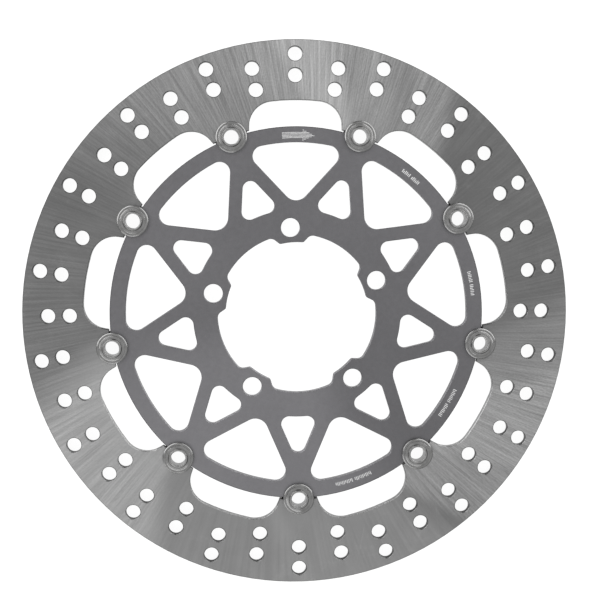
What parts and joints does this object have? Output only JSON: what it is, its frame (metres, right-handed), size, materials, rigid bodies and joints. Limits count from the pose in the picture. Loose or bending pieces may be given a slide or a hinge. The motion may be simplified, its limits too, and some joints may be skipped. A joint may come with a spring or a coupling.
{
  "type": "brake disc rotor",
  "caption": "Flat floating brake rotor: a drilled steel friction ring hung on hollow bobbins round the rim of a windowed, bolt-on carrier.",
  "frame": {"origin": "centre of the wheel bolt circle, on the raised hub seat at the back of the carrier", "axes": "+Z along the wheel axis, out of the front face that carries the washers; +Y is twelve o'clock"},
  "size_m": [0.31, 0.31, 0.01],
  "materials": {
    "carrier": "hard anodised, satin dark grey",
    "friction_ring": "ground stainless steel with radial streaks",
    "bobbin": "fine turned",
    "thrust_washer": "tumbled",
    "wave_washer": "spring steel"
  },
  "bodies": {
    "carrier": {"carrier": "carrier"},
    "friction_ring": {"friction_ring": "friction_ring", "thrust_washer_1": "thrust_washer", "thrust_washer_2": "thrust_washer", "thrust_washer_3": "thrust_washer", "thrust_washer_4": "thrust_washer", "thrust_washer_5": "thrust_washer", "thrust_washer_6": "thrust_washer", "thrust_washer_7": "thrust_washer", "thrust_washer_8": "thrust_washer", "thrust_washer_9": "thrust_washer"},
    "bobbin_1": {"bobbin_1": "bobbin", "wave_washer_1": "wave_washer"},
    "bobbin_2": {"bobbin_2": "bobbin", "wave_washer_2": "wave_washer"},
    "bobbin_3": {"bobbin_3": "bobbin", "wave_washer_3": "wave_washer"},
    "bobbin_4": {"bobbin_4": "bobbin", "wave_washer_4": "wave_washer"},
    "bobbin_5": {"bobbin_5": "bobbin", "wave_washer_5": "wave_washer"},
    "bobbin_6": {"bobbin_6": "bobbin", "wave_washer_6": "wave_washer"},
    "bobbin_7": {"bobbin_7": "bobbin", "wave_washer_7": "wave_washer"},
    "bobbin_8": {"bobbin_8": "bobbin", "wave_washer_8": "wave_washer"},
    "bobbin_9": {"bobbin_9": "bobbin", "wave_washer_9": "wave_washer"}
  },
  "joints": [
    {"name": "ring_float", "type": "slide", "parent": "carrier", "child": "friction_ring", "axis": [0, 0, 1], "range_m": [0, 0.0004], "stiffness_N_per_m": 100000, "springref_m": -0.0005, "deforming": ["wave_washer_1", "wave_washer_2", "wave_washer_3", "wave_washer_4", "wave_washer_5", "wave_washer_6", "wave_washer_7", "wave_washer_8", "wave_washer_9"]},
    {"name": "bobbin_1_spin", "type": "hinge", "parent": "carrier", "child": "bobbin_1", "pos_m": [0.09232, 0.0533, 0.003], "axis": [0, 0, 1], "continuous": true},
    {"name": "bobbin_2_spin", "type": "hinge", "parent": "carrier", "child": "bobbin_2", "pos_m": [0.03646, 0.10017, 0.003], "axis": [0, 0, 1], "continuous": true},
    {"name": "bobbin_3_spin", "type": "hinge", "parent": "carrier", "child": "bobbin_3", "pos_m": [-0.03646, 0.10017, 0.003], "axis": [0, 0, 1], "continuous": true},
    {"name": "bobbin_4_spin", "type": "hinge", "parent": "carrier", "child": "bobbin_4", "pos_m": [-0.09232, 0.0533, 0.003], "axis": [0, 0, 1], "continuous": true},
    {"name": "bobbin_5_spin", "type": "hinge", "parent": "carrier", "child": "bobbin_5", "pos_m": [-0.10498, -0.01851, 0.003], "axis": [0, 0, 1], "continuous": true},
    {"name": "bobbin_6_spin", "type": "hinge", "parent": "carrier", "child": "bobbin_6", "pos_m": [-0.06852, -0.08166, 0.003], "axis": [0, 0, 1], "continuous": true},
    {"name": "bobbin_7_spin", "type": "hinge", "parent": "carrier", "child": "bobbin_7", "pos_m": [0, -0.1066, 0.003], "axis": [0, 0, 1], "continuous": true},
    {"name": "bobbin_8_spin", "type": "hinge", "parent": "carrier", "child": "bobbin_8", "pos_m": [0.06852, -0.08166, 0.003], "axis": [0, 0, 1], "continuous": true},
    {"name": "bobbin_9_spin", "type": "hinge", "parent": "carrier", "child": "bobbin_9", "pos_m": [0.10498, -0.01851, 0.003], "axis": [0, 0, 1], "continuous": true}
  ]
}
